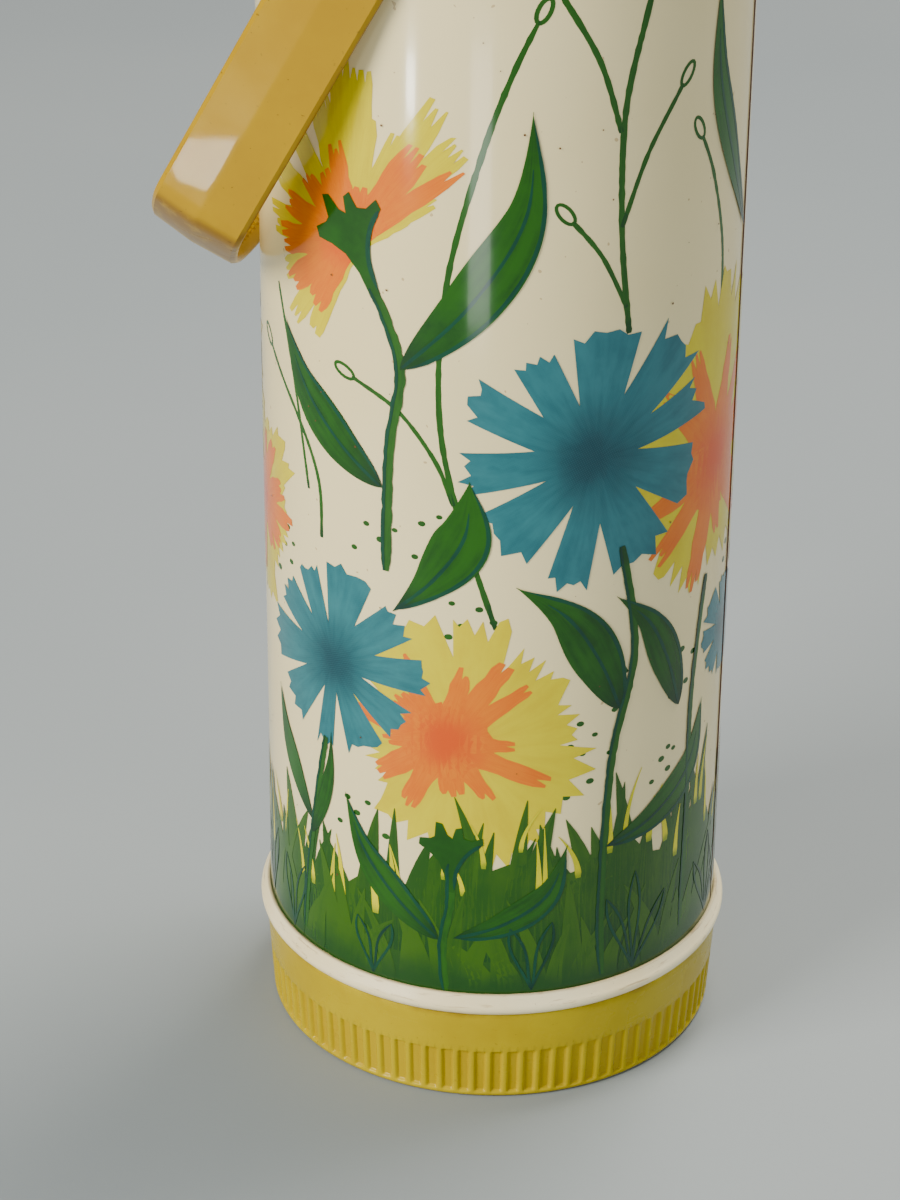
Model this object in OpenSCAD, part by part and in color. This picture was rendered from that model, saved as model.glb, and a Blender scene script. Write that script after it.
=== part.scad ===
// Pump pot: a slim vacuum jug with a push-plate air pump and a swinging bail handle.
// Millimetres. Origin on the table under the middle of the base, +Z up.
// The spout points to -X, the lid's hinge is at +X, the handle turns about an axis along Y.

/* [Body] */
// Radius of the printed steel sleeve
body_r = 62.5; // [61:0.5:63]
// Thickness of the sleeve's sheet
sleeve_t = 0.6; // [0.4:0.1:0.7]
// Height of the sleeve's top edge
sleeve_top = 318.8; // [318:0.1:318.8]
// Width of the sleeve's lap seam
seam_w = 7; // [4:1:10]

/* [Base] */
// Height of the base cup's top edge
base_top = 28; // [27:0.1:28.2]
// Outer radius of the base cup at its top edge
base_r_top = 64; // [63.4:0.1:64.2]
// Outer radius of the base cup at its foot
base_r_foot = 62.2; // [61.8:0.1:62.6]
// Number of flutes round the base cup
flute_count = 88; // [60:2:100]
// Height of the flutes' top end
flute_top = 15.5; // [12:0.5:18]
// Height of the rubber foot under the cup's rim
foot_rise = 0.3; // [0.3:0.1:1.2]

/* [Bead] */
// Outer radius of the ring between base and sleeve
bead_r = 65.5; // [65:0.1:66]
// Height of the ring
bead_h = 6.1; // [5.5:0.1:6.5]

/* [Refill] */
// Outer radius of the glass refill
glass_r = 56.5; // [54:0.5:57]
// Outer radius of the refill's inner wall
liner_r = 50.5; // [48:0.5:51]
// Thickness of the glass
glass_t = 1.4; // [1:0.1:1.6]
// Outer radius of the refill's neck
neck_r = 34; // [33:0.5:34]

/* [Shoulder] */
// Height of the shoulder's upper rim
rim_z = 372; // [371.5:0.1:372]
// Outer radius of the shoulder at its lower edge
shoulder_r = 63.4; // [63.2:0.1:63.4]
// Outer radius of the shoulder near its upper rim
shoulder_r_top = 62.2; // [61.8:0.1:62.2]

/* [Handle] */
// Height of the handle's pivots
pivot_z = 358; // [356:0.5:358]
// Angle of the resting handle from straight down
rest_angle = 29.4; // [29.4:0.1:34]
// Width of the handle's strap
strap_w = 24.7; // [18:0.1:24.7]
// Distance from the pivots to the middle of the grip
grip_reach = 151.1; // [151.1:0.1:170]
// Radius of the bend between arm and grip
bend_r = 9; // [7:0.5:12]
// Slope at which the grip's arc leaves the bend, from level
grip_slope = 42; // [34:1:45]
// Number of ribs under the grip
grip_ribs = 17; // [9:2:23]

/* [Lid] */
// Height of the lid above the shoulder's rim
lid_h = 26; // [26:0.5:28]
// Radius of the push plate
plate_r = 44; // [43:0.1:44]
// Stroke of the push plate
pump_stroke = 20; // [10:1:20]
// Height of the push plate above the lid at rest
plate_rise = 6.2; // [6.2:0.1:7]

/* [Spout] */
// Height of the delivery pipe's axis over the deck
pipe_z = 360; // [360:0.1:360.5]
// Outer radius of the dip tube and the delivery pipe
pipe_r = 5; // [4.5:0.1:5]
// Distance from the axis of the pot to the outlet
spout_reach = 90; // [86:1:94]

/* [Hidden] */
$fn = 96;

yellow = "#E0C400";
cream = "#EADFBF";
steel = "#B8B8B8";
rubber = "#3A3A38";

// The running clearance of a pin in its bore, on the radius
run_gap = 0.05;
// The gap kept between pieces that slide past each other
slip_gap = 0.4;

// Base
floor_top = 6;
foot_r = 57.6;
foot_h = 3;
thread_in = 60.6;
socket_r = 20.2;

// Bead ring: the sleeve stands in a groove of the ring
bead_z = base_top + 0.1;
skirt_r = 59.4;
sleeve_z = bead_z + 1.7;

// Refill
glass_low = 20;
glass_dome_h = 36;
glass_shoulder_z = 285;
glass_neck_z = 310;
glass_lip_z = 318;
liner_dome_h = 34;
liner_low = 28;
lip_t = 1.4;
lip_top = glass_lip_z + lip_t;

// Shoulder
seat_z = 321.5;
seat_t = 2.5;
deck_z = 346;
deck_top = 348.5;
mouth_r = 41;
wall_in = 59.8;
boss_r = 12;
boss_face = 63.4;
spigot_r = 4.2;
spigot_in = 54;
screw_ring_r = 50;
screw_angles = [0, 120, 240];

// Lid hinge
hinge_x = 68;
hinge_z = 372.2;
hinge_pin_r = 1.5;
knuckle_r = 4.2;
knuckle_w = 13.6;
lug_in = 14;
lug_out = 20;

// Handle
strap_mid = 65;
journal_r = 5;
eye_r = strap_w / 2;
// How far one stretch of the strap runs into the next
joint_lap = 0.03;
bend_y = strap_mid - bend_r;
grip_r = bend_r + bend_y / sin(grip_slope);
grip_centre = grip_r - grip_reach;
bend_z = grip_centre - (grip_r - bend_r) * cos(grip_slope);

// Lid
lid_gap = 0.4;
lid_r = 62;
lid_top = rim_z + lid_h;
lid_round = 12;
lid_wall = 2.2;
well_r = 46;
lip_r = 44.6;
liner_z = 369;
liner_top = 371.5;
lid_screw_r = 54;
lid_screw_angles = [45, 135, 225, 315];
plate_top = lid_top + plate_rise;
plate_under = plate_top - 3;
plate_foot = liner_top + pump_stroke + 1;
latch_x = -59.5;
latch_z = rim_z + 11;
latch_w = 11.2;
latch_pin_r = 1;
slider_x = 51.5;

// A solid of revolution about Z from a closed outline of [radius, height]
module revolve(outline) rotate_extrude() polygon(outline);

// A tube about Z
module tube(r_out, r_in, z0, z1)
    revolve([[r_in, z0], [r_out, z0], [r_out, z1], [r_in, z1]]);

// A round bar about Z
module bar(r, z0, z1) translate([0, 0, z0]) cylinder(r = r, h = z1 - z0);

// A round bar along Y through the point [x, z]
module bar_y(x, z, r, y0, y1)
    translate([x, y1, z]) rotate([90, 0, 0]) cylinder(r = r, h = y1 - y0);

// A side outline of [x, z], as wide as from y0 to y1
module plate_y(outline, y0, y1)
    translate([0, y1, 0]) rotate([90, 0, 0]) linear_extrude(y1 - y0) polygon(outline);

// Copies at the given angles round Z, at the given distance
module around(angles, r) for (a = angles) rotate([0, 0, a]) translate([r, 0, 0]) children();

// The same piece on both sides of the XZ plane
module both_sides() for (m = [0, 1]) mirror([0, m, 0]) children();

function arc(cx, cz, r, a0, a1, n) =
    [for (i = [0:n]) let (a = a0 + (a1 - a0) * i / n) [cx + r * cos(a), cz + r * sin(a)]];

// A bottle wall's outline: a domed bottom, a straight side and a smooth step in to the neck
function dome(r, low, h) =
    [for (i = [0:16]) let (a = 90 * i / 16) [r * sin(a), low + h - h * cos(a)]];
function step_in(r0, r1, z0, z1) =
    [for (i = [0:14]) let (u = i / 14) [r0 + (r1 - r0) * (1 - cos(180 * u)) / 2, z0 + (z1 - z0) * u]];
function backwards(points) = [for (i = [len(points) - 1:-1:0]) points[i]];

// ---- Base ----

module foot_pad() color(rubber) bar(foot_r, 0, foot_h);

function base_radius(z) =
    base_r_foot + (base_r_top - base_r_foot) * (z - foot_rise) / (base_top - foot_rise);

// The ribs are narrow and round, and the grooves between them are broad and flat
rib_heights = [0, 0, 0, 0.9, 1.5, 0.9];
rib_points = len(rib_heights);
groove_r = base_radius(flute_top) - 1.3;
function fluted_outline() = [for (i = [0:flute_count * rib_points - 1])
    let (a = 360 * i / (flute_count * rib_points),
         r = groove_r + rib_heights[i % rib_points])
    [r * cos(a), r * sin(a)]];

module base_cup() color(yellow) difference() {
    union() {
        revolve([[0, foot_h], [foot_r + 0.2, foot_h], [foot_r + 0.2, foot_rise],
            [base_r_foot, foot_rise], [base_r_top, base_top],
            [thread_in, base_top], [thread_in, 24], [thread_in - 0.8, 23.4],
            [thread_in - 0.8, 22.6], [thread_in, 22], [thread_in - 1, floor_top],
            [0, floor_top]]);
        tube(socket_r + 2.4, socket_r, floor_top - 0.1, 14);
    }
    translate([0, 0, foot_rise + 1.3]) linear_extrude(flute_top - foot_rise - 1.3) difference() {
        circle(r = base_r_top + 3);
        polygon(fluted_outline());
    }
}

module bottom_ring() color(cream) revolve(concat(
    [[57, 13], [skirt_r, 13], [skirt_r, 19.6], [skirt_r + 0.7, 20.2], [skirt_r + 0.7, 21],
     [skirt_r, 21.6], [skirt_r, bead_z], [bead_r - 1.2, bead_z]],
    arc(bead_r - 2, bead_z + 2.4, 2, -60, 55, 8),
    [[body_r + 0.9, bead_z + bead_h - 0.3], [body_r + 0.05, bead_z + bead_h],
     [body_r + 0.05, sleeve_z - 0.05], [body_r - sleeve_t - 0.05, sleeve_z - 0.05],
     [body_r - sleeve_t - 0.05, 44], [57, 44]]));

// The sheet's edges lap over each other at the back
module body_sleeve() color(cream) {
    tube(body_r, body_r - sleeve_t, sleeve_z, sleeve_top);
    intersection() {
        tube(body_r + 0.3, body_r - 0.1, bead_z + bead_h + 0.3, 313);
        cube([body_r + 5, seam_w, sleeve_top]);
    }
}

// ---- Refill ----

module refill_cushion() color(rubber)
    revolve([[7, floor_top], [socket_r - 0.2, floor_top], [socket_r - 0.2, 22], [7, 20]]);

module refill_outer_glass() color("silver") {
    revolve(concat(
        dome(glass_r, glass_low, glass_dome_h),
        step_in(glass_r, neck_r, glass_shoulder_z, glass_neck_z),
        [[neck_r, glass_lip_z], [neck_r - glass_t, glass_lip_z]],
        backwards(step_in(glass_r - glass_t, neck_r - glass_t, glass_shoulder_z, glass_neck_z)),
        backwards(dome(glass_r - glass_t, glass_low + glass_t, glass_dome_h - glass_t))));
    translate([0, 0, glass_low - 7]) cylinder(r1 = 1.5, r2 = 3.5, h = 7.6);
}

module refill_inner_glass() color("silver") revolve(concat(
    dome(liner_r, liner_low, liner_dome_h),
    step_in(liner_r, neck_r - 3, glass_shoulder_z - 2, glass_neck_z - 1),
    [[neck_r - 3, glass_lip_z], [neck_r, glass_lip_z], [neck_r, lip_top],
     [neck_r - 3 - glass_t, lip_top]],
    backwards(step_in(liner_r - glass_t, neck_r - 3 - glass_t, glass_shoulder_z - 2,
        glass_neck_z - 1)),
    backwards(dome(liner_r - glass_t, liner_low + glass_t, liner_dome_h - glass_t))));

module refill_pads() color("tan") around([30, 150, 270], liner_r + 0.2)
    translate([0, 0, 66]) rotate([0, 90, 0])
        cylinder(r = 5, h = glass_r - glass_t - liner_r - 0.7);

module neck_gasket() color(rubber)
    revolve([[neck_r + 0.3, 311.5], [39.5, 311.5], [39.5, seat_z], [30.5, seat_z],
        [30.5, lip_top], [neck_r + 0.3, lip_top]]);

// ---- Shoulder and what stands in its mouth ----

module shoulder() color(yellow) difference() {
    union() {
        revolve([[31, seat_z], [mouth_r + 2.5, seat_z], [mouth_r + 2.5, deck_z],
            [wall_in, deck_z], [wall_in, seat_z], [skirt_r - 0.2, seat_z], [skirt_r - 0.2, 306],
            [body_r - sleeve_t - 0.1, 306], [body_r - sleeve_t - 0.1, sleeve_top + 0.2],
            [body_r + 0.1, sleeve_top + 0.2], [body_r + 0.1, 314], [shoulder_r - 0.3, 314],
            [shoulder_r, 314.4], [shoulder_r, 330], [shoulder_r_top, rim_z - 1.5],
            [shoulder_r_top - 1, rim_z], [wall_in, rim_z], [wall_in, deck_top],
            [mouth_r, deck_top], [mouth_r, seat_z + seat_t], [31, seat_z + seat_t]]);
        both_sides() {
            bar_y(0, pivot_z, boss_r, 59.2, boss_face);
            bar_y(0, pivot_z, 7.5, spigot_in - 1.5, 60);
            bar_y(hinge_x, hinge_z, knuckle_r, lug_in, lug_out);
            plate_y([[59.9, 350], [59.9, rim_z - 0.1], [61.4, rim_z - 0.1], [66, hinge_z + 3.9],
                [71.8, hinge_z - 1.8]], lug_in, lug_out);
        }
        around(screw_angles, screw_ring_r) bar(3.5, 338, deck_z + 0.1);
    }
    both_sides() bar_y(0, pivot_z, spigot_r + run_gap, spigot_in - 0.3, boss_face + 1);
    bar_y(hinge_x, hinge_z, hinge_pin_r + 0.02, -30, 30);
    around(screw_angles, screw_ring_r) bar(1.5, 336, deck_top + 1);
    translate([-70, 0, pipe_z]) rotate([0, 90, 0]) cylinder(r = pipe_r + 0.8, h = 14);
}

module mouth_ring() color(cream) difference() {
    revolve([[38, seat_z + 2.8], [mouth_r - 0.3, seat_z + 2.8], [mouth_r - 0.3, deck_top],
        [54, deck_top], [54, 351], [38, 351]]);
    around(screw_angles, screw_ring_r) bar(1.7, deck_z, 352);
}

// A pan head with a cross slot over a plain shank, pointing down from z
module pan_screw(z, head_r, head_h, shank_r, shank_l) difference() {
    union() {
        bar(head_r, z, z + head_h);
        bar(shank_r, z - shank_l, z + 0.1);
    }
    for (a = [0, 90]) rotate([0, 0, a])
        translate([-head_r * 0.6, -0.35, z + head_h - 0.8]) cube([head_r * 1.2, 0.7, 1]);
}

module mouth_screws() color(steel)
    around(screw_angles, screw_ring_r) pan_screw(351, 2.9, 1.8, 1.45, 11);

holder_rim = liner_z - 2.5;
holder_r = 37.6;

// A ring in the mouth, with a hub for the pipes on three spokes and room to pour between them
module pipe_holder() color(cream) difference() {
    union() {
        revolve([[holder_r - 3, 338], [holder_r, 338], [holder_r, 352.2], [45, 352.2],
            [45, 354], [holder_r, 354], [holder_r, holder_rim], [holder_r - 3, holder_rim]]);
        bar(pipe_r + 2.6, 330, 350);
        for (a = [60, 180, 300]) rotate([0, 0, a]) translate([pipe_r, -1.5, 338])
            cube([holder_r - pipe_r - 1, 3, 8]);
    }
    translate([-50, 0, pipe_z]) rotate([0, 90, 0]) cylinder(r = pipe_r + 0.2, h = 30);
    bar(pipe_r + 0.2, 329, 351);
}

module holder_gasket() color(rubber) tube(44.8, 38.2, 351, 352.2);

module dip_tube() color("ivory") difference() {
    tube(pipe_r, pipe_r - 1, liner_low + 6, 346);
    translate([0, 0, liner_low + 6]) rotate([0, 30, 0]) translate([-10, -10, -12])
        cube([20, 20, 12]);
}

pipe_bend = 9;
pipe_bore = pipe_r - 1.2;

// A quarter bend in the XZ plane about the point [x, z], starting from the axis direction a0
module elbow(x, z, a0, r_out, r_in)
    translate([x, 0, z]) rotate([90, 0, 0]) rotate([0, 0, a0])
        rotate_extrude(angle = 90) translate([pipe_bend, 0]) difference() {
            circle(r = r_out, $fn = 48);
            circle(r = r_in, $fn = 48);
        }

module delivery_pipe() color("ivory") {
    elbow_z = pipe_z - pipe_bend;
    tube(pipe_r, pipe_bore, 346, elbow_z);
    elbow(-pipe_bend, elbow_z, 0, pipe_r, pipe_bore);
    translate([-spout_reach + pipe_bend, 0, pipe_z]) rotate([0, 90, 0])
        tube(pipe_r, pipe_bore, 0, spout_reach - 2 * pipe_bend);
    elbow(-spout_reach + pipe_bend, elbow_z, 90, pipe_r, pipe_bore);
    translate([-spout_reach, 0, 0]) tube(pipe_r, pipe_bore, 344, elbow_z);
}

// The nose is a skin over two pairs of round corners at the wall and two pairs at the tip
module nose(inset) hull() both_sides() {
    for (z = [350, 364]) translate([-56, 13, z]) sphere(r = 6 - inset, $fn = 48);
    translate([-spout_reach - 3, 6.5, 352]) sphere(r = 7 - inset, $fn = 48);
    translate([-spout_reach, 6.5, 361.5]) sphere(r = 7 - inset, $fn = 48);
}

module spout_housing() color(yellow) difference() {
    nose(0);
    nose(2);
    revolve([[0, 300], [shoulder_r + 0.1, 300], [shoulder_r + 0.1, 330],
        [shoulder_r_top + 0.1, rim_z - 1.5], [shoulder_r_top + 0.1, 390], [0, 390]]);
    translate([-spout_reach, 0, 0]) bar(7, 335, 352);
}

module spout_nozzle() color(cream) translate([-spout_reach, 0, 0])
    revolve([[pipe_r + 0.1, 351], [pipe_r + 1.8, 351], [pipe_r + 1.8, 338],
        [pipe_r + 1.4, 330], [pipe_r + 0.7, 328], [pipe_bore, 328], [pipe_bore, 343.5],
        [pipe_r + 0.1, 343.5]]);

// A stepped stud: a spigot in the shoulder's boss, a journal for the arm and a domed head
module handle_pin() {
    head_in = strap_mid + 2.2;
    translate([0, 0, pivot_z]) rotate([-90, 0, 0]) revolve(concat(
        [[0, spigot_in], [spigot_r, spigot_in], [spigot_r, boss_face], [journal_r, boss_face],
         [journal_r, head_in], [9.5, head_in], [9.5, head_in + 0.8]],
        [for (i = [1:6]) let (a = 15 * i) [9.5 * cos(a), head_in + 0.8 + 1.6 * sin(a)]]));
}

module handle_pins() color("#8C8C8A") both_sides() handle_pin();

// ---- Lid ----

module hinge_pin() color(steel) {
    bar_y(hinge_x, hinge_z, hinge_pin_r, -lug_out - 1, lug_out + 0.2);
    bar_y(hinge_x, hinge_z, 2.4, lug_out + 0.1, lug_out + 1.3);
}

module lid_shell() color(yellow) difference() {
    corner_x = lid_r - lid_round;
    corner_z = lid_top - lid_round;
    union() {
        revolve(concat(
            [[lid_r - lid_wall, rim_z + lid_gap], [lid_r, rim_z + lid_gap]],
            arc(corner_x, corner_z, lid_round, 0, 90, 12),
            [[lip_r, lid_top], [lip_r, lid_top - 2.4], [well_r, lid_top - 2.4],
             [well_r, liner_top + 0.1], [well_r + 2.2, liner_top + 0.1],
             [well_r + 2.2, lid_top - lid_wall]],
            arc(corner_x, corner_z, lid_round - lid_wall, 90, 0, 12)));
        around(lid_screw_angles, lid_screw_r) bar(3.4, liner_top + 0.1, lid_top - 3.2);
        bar_y(hinge_x, hinge_z, knuckle_r, -knuckle_w, knuckle_w);
        plate_y([[60.6, 373], [65, 373], [71.4, 374.6], [67, 380], [60.6, 384.5]],
            -knuckle_w, knuckle_w);
    }
    bar_y(hinge_x, hinge_z, hinge_pin_r + run_gap, -30, 30);
    around(lid_screw_angles, lid_screw_r) bar(1.5, liner_top, rim_z + 12);
    translate([-lid_r - 5, -latch_w - slip_gap, rim_z])
        cube([12, 2 * (latch_w + slip_gap), 20]);
    bar_y(latch_x, latch_z, latch_pin_r + 0.02, -latch_w - 3, latch_w + 3);
    translate([slider_x - 2.2, -8, lid_top - 5]) cube([4.4, 16, 6]);
}

module lid_liner() color(cream) difference() {
    union() {
        tube(58.5, 2.1, liner_z, liner_top);
        tube(33, 31.5, liner_z - 2, liner_z + 0.1);
        tube(39.7, 38.2, liner_z - 2, liner_z + 0.1);
    }
    around([0, 90, 180, 270], 5.5) bar(1.6, liner_z - 1, liner_top + 1);
    around(lid_screw_angles, lid_screw_r) bar(1.7, liner_z - 1, liner_top + 1);
}

module lid_gasket() color("#D8D2C4") tube(38.1, 33.1, liner_z - 2.2, liner_z);

module air_valve() color(rubber) {
    bar(9, liner_z - 1.4, liner_z);
    bar(2, liner_z - 0.1, liner_top + 0.1);
    bar(3, liner_top + 0.05, liner_top + 1.6);
}

// Concertina wall between the liner and the push plate
folds = 5;
module bellows() color("#D9D9D4") {
    low = liner_top + 0.1;
    pitch = (plate_under - 0.1 - low) / (2 * folds);
    wall = [for (i = [0:2 * folds]) [i % 2 == 0 ? 35 : 41, low + pitch * i]];
    revolve(concat(wall, [for (p = backwards(wall)) [p[0] - 1.4, p[1]]]));
}

// A coil spring swept along a helix, one ring of points after another
spring_r = 26;
wire_r = 1.3;
spring_turns = 5.5;
spring_sides = 8;
spring_rings = 110;
module pump_spring() color(steel) {
    low = liner_top + 1.7;
    high = plate_under - 1.7;
    points = [for (i = [0:spring_rings]) let (u = i / spring_rings, a = 360 * spring_turns * u)
        for (k = [0:spring_sides - 1]) let (b = 360 * k / spring_sides,
            r = spring_r + wire_r * cos(b))
        [r * cos(a), r * sin(a), low + (high - low) * u + wire_r * sin(b)]];
    sides = [for (i = [0:spring_rings - 1]) for (k = [0:spring_sides - 1])
        let (n = (k + 1) % spring_sides, s = i * spring_sides, t = s + spring_sides)
        [s + k, t + k, t + n, s + n]];
    start = [for (k = [0:spring_sides - 1]) k];
    finish = [for (k = [spring_sides - 1:-1:0]) spring_rings * spring_sides + k];
    polyhedron(points = points, faces = concat(sides, [start, finish]), convexity = 8);
}

module lid_screws() color(steel) around(lid_screw_angles, lid_screw_r)
    translate([0, 0, liner_z]) mirror([0, 0, 1]) pan_screw(0, 2.8, 1.8, 1.45, 12);

module latch_pin() color(steel)
    bar_y(latch_x, latch_z, latch_pin_r, -latch_w - 2.6, latch_w + 2.6);

module pump_plate() color(cream) revolve([[0, plate_under], [plate_r - 2, plate_under],
    [plate_r - 2, plate_foot], [plate_r + 1.6, plate_foot], [plate_r + 1.6, plate_foot + 2],
    [plate_r, plate_foot + 2], [plate_r, plate_top - 1.6], [plate_r - 0.5, plate_top - 0.5],
    [plate_r - 1.6, plate_top], [plate_r - 4, plate_top], [plate_r - 8, plate_top - 1.2],
    [12, plate_top - 1.2], [11, plate_top - 0.6], [10, plate_top - 1.2],
    [0, plate_top - 1.2]]);

module lid_latch() color(cream) difference() {
    union() {
        intersection() {
            tube(lid_r + 1.4, lid_r - 2, rim_z - 0.8, rim_z + 18.4);
            translate([-lid_r - 5, -latch_w, rim_z - 1]) cube([12, 2 * latch_w, 21]);
        }
        bar_y(latch_x, latch_z, 2.5, -latch_w, latch_w);
        for (z = [13, 14.8, 16.6]) intersection() {
            tube(lid_r + 1.9, lid_r, rim_z + z, rim_z + z + 0.8);
            translate([-lid_r - 5, -8, rim_z]) cube([12, 16, 20]);
        }
    }
    bar_y(latch_x, latch_z, latch_pin_r + run_gap, -20, 20);
    tube(shoulder_r_top + 0.5, 50, rim_z - 3, rim_z + 0.8);
}

// A thumb slide that stands in a slot of the lid, held by a foot under the roof
module lock_slider() color(cream) translate([0, -4, 0]) {
    translate([slider_x - 1.8, -3, lid_top - 4]) cube([3.6, 6, 5]);
    translate([slider_x - 4, -5.5, lid_top + 0.4]) cube([8, 11, 1.8]);
    for (y = [-3, 0, 3]) translate([slider_x - 3, y - 0.5, lid_top + 2.1]) cube([6, 1, 0.7]);
    translate([slider_x - 2.8, -3.6, lid_top - 5]) cube([4.4, 7.2, 1.6]);
}

// ---- Handle ----

// Section of the strap: [distance outwards, along the width], with a ridge down the middle
function strap_section(mid) = let (w = strap_w / 2)
    [[mid - 0.5, -w], [mid + 0.5, -w], [mid + 1.2, -w + 0.8], [mid + 1.9, 0],
     [mid + 1.2, w - 0.8], [mid + 0.5, w], [mid - 0.5, w], [mid - 1.25, w - 0.7],
     [mid - 1.25, -w + 0.7]];

// An arc of strap in the YZ plane, from angle a0 to a1 measured from straight down
module strap_arc(y, z, mid, a0, a1)
    translate([0, y, z]) rotate([0, 90, 0]) rotate([0, 0, a0])
        rotate_extrude(angle = a1 - a0) polygon(strap_section(mid));

// The handle as it would hang straight down from the pivots at the origin
module handle_bail() {
    both_sides() {
        difference() {
            union() {
                translate([0, 0, bend_z - joint_lap]) rotate([0, 0, 90])
                    linear_extrude(-bend_z + joint_lap) polygon(strap_section(strap_mid));
                bar_y(0, 0, eye_r, strap_mid - 1.25, strap_mid + 1.9);
            }
            bar_y(0, 0, journal_r + run_gap, 50, 80);
        }
        strap_arc(bend_y, bend_z, bend_r, grip_slope - 0.2, 90);
    }
    strap_arc(0, grip_centre, grip_r, -grip_slope, grip_slope);
    for (i = [0:grip_ribs - 1]) translate([0, 0, grip_centre])
        rotate([2.2 * (i - (grip_ribs - 1) / 2), 0, 0])
            translate([-strap_w / 2 + 3, 0, -grip_r + 1.1]) rotate([0, 90, 0])
                cylinder(r = 0.9, h = strap_w - 6);
}

module handle() color(yellow) translate([0, 0, pivot_z]) rotate([0, rest_angle, 0]) handle_bail();

foot_pad();
base_cup();
bottom_ring();
body_sleeve();
refill_cushion();
refill_outer_glass();
refill_inner_glass();
refill_pads();
neck_gasket();
shoulder();
mouth_ring();
mouth_screws();
pipe_holder();
holder_gasket();
dip_tube();
delivery_pipe();
spout_housing();
spout_nozzle();
handle_pins();
hinge_pin();
lid_shell();
lid_liner();
lid_gasket();
air_valve();
bellows();
pump_spring();
lid_screws();
latch_pin();
pump_plate();
lid_latch();
lock_slider();
handle();
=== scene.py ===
import math
import random

import bmesh
import bpy
from mathutils import Matrix, Vector
from mathutils.geometry import delaunay_2d_cdt


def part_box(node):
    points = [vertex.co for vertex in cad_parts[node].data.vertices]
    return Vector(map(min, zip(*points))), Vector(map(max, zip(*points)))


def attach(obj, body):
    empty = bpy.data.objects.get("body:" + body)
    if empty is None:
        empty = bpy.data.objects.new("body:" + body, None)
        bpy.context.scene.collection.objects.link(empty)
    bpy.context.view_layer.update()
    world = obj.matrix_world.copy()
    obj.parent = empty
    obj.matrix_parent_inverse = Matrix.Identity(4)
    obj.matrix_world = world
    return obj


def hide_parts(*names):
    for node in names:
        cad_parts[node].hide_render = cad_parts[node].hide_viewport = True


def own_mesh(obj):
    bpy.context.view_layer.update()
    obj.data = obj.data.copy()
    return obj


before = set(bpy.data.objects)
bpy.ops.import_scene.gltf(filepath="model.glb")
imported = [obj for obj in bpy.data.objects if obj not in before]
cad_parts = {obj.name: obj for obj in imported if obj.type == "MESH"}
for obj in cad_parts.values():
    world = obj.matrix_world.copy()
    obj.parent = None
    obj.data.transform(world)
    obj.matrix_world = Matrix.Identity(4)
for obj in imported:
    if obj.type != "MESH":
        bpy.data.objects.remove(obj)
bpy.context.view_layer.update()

# Lengths below are in millimetres unless a name says otherwise
MM = 0.001

# ---- The view ----

# The camera looks at the pot from a little to the right of the handle's near pivot
VIEW_TURN = math.radians(13.3)
CAMERA_LENS = 100.8
CAMERA_ACROSS = -12.6
CAMERA_BACK = -814.6
CAMERA_HEIGHT = 538.9
CAMERA_PITCH = math.radians(27.2)
CAMERA_ROLL = math.radians(0.49)

# ---- The pot's sizes, as the frame gives them ----


def span(node, axis):
    """The lowest and highest coordinate of a CAD node along an axis, in millimetres."""
    low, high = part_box(node)
    return low[axis] / MM, high[axis] / MM


SLEEVE_LOW, SLEEVE_TOP = span("body_sleeve", 2)
SLEEVE_R = span("body_sleeve", 1)[1]
RING_R = span("bottom_ring", 1)[1]
BASE_LOW, BASE_TOP = span("base_cup", 2)
BASE_R_TOP = span("base_cup", 1)[1]
PIVOT_Z = sum(span("handle_pins", 2)) / 2

# The ring stands this much above the base cup
RING_TOP = BASE_TOP + 6.2

# The base cup widens a little from its foot to its top edge
BASE_R_FOOT = BASE_R_TOP - 1.8
CUP_FLARE = (BASE_R_TOP - BASE_R_FOOT) / (BASE_TOP - BASE_LOW)

# The middle of the side that faces the camera, and the length once round the sleeve
FRONT_ANGLE = VIEW_TURN - math.pi / 2
ROUND = 2 * math.pi * SLEEVE_R


# ---- Small helpers ----


def srgb(r, g, b):
    """A display colour from 0 to 255 as linear light."""
    def linear(c):
        c /= 255
        return c / 12.92 if c <= 0.04045 else ((c + 0.055) / 1.055) ** 2.4
    return (linear(r), linear(g), linear(b), 1.0)


def lerp(a, b, t):
    return a + (b - a) * t


def smooth(t):
    t = min(max(t, 0.0), 1.0)
    return t * t * (3 - 2 * t)


def make_object(name, mesh, material, body, hides=()):
    """A finished piece: it rides on its body and may stand for CAD nodes."""
    piece = bpy.data.objects.new(name, mesh)
    bpy.context.scene.collection.objects.link(piece)
    mesh.materials.append(material)
    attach(piece, body)
    if hides:
        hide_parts(*hides)
    return piece


# ---- Materials ----


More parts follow.
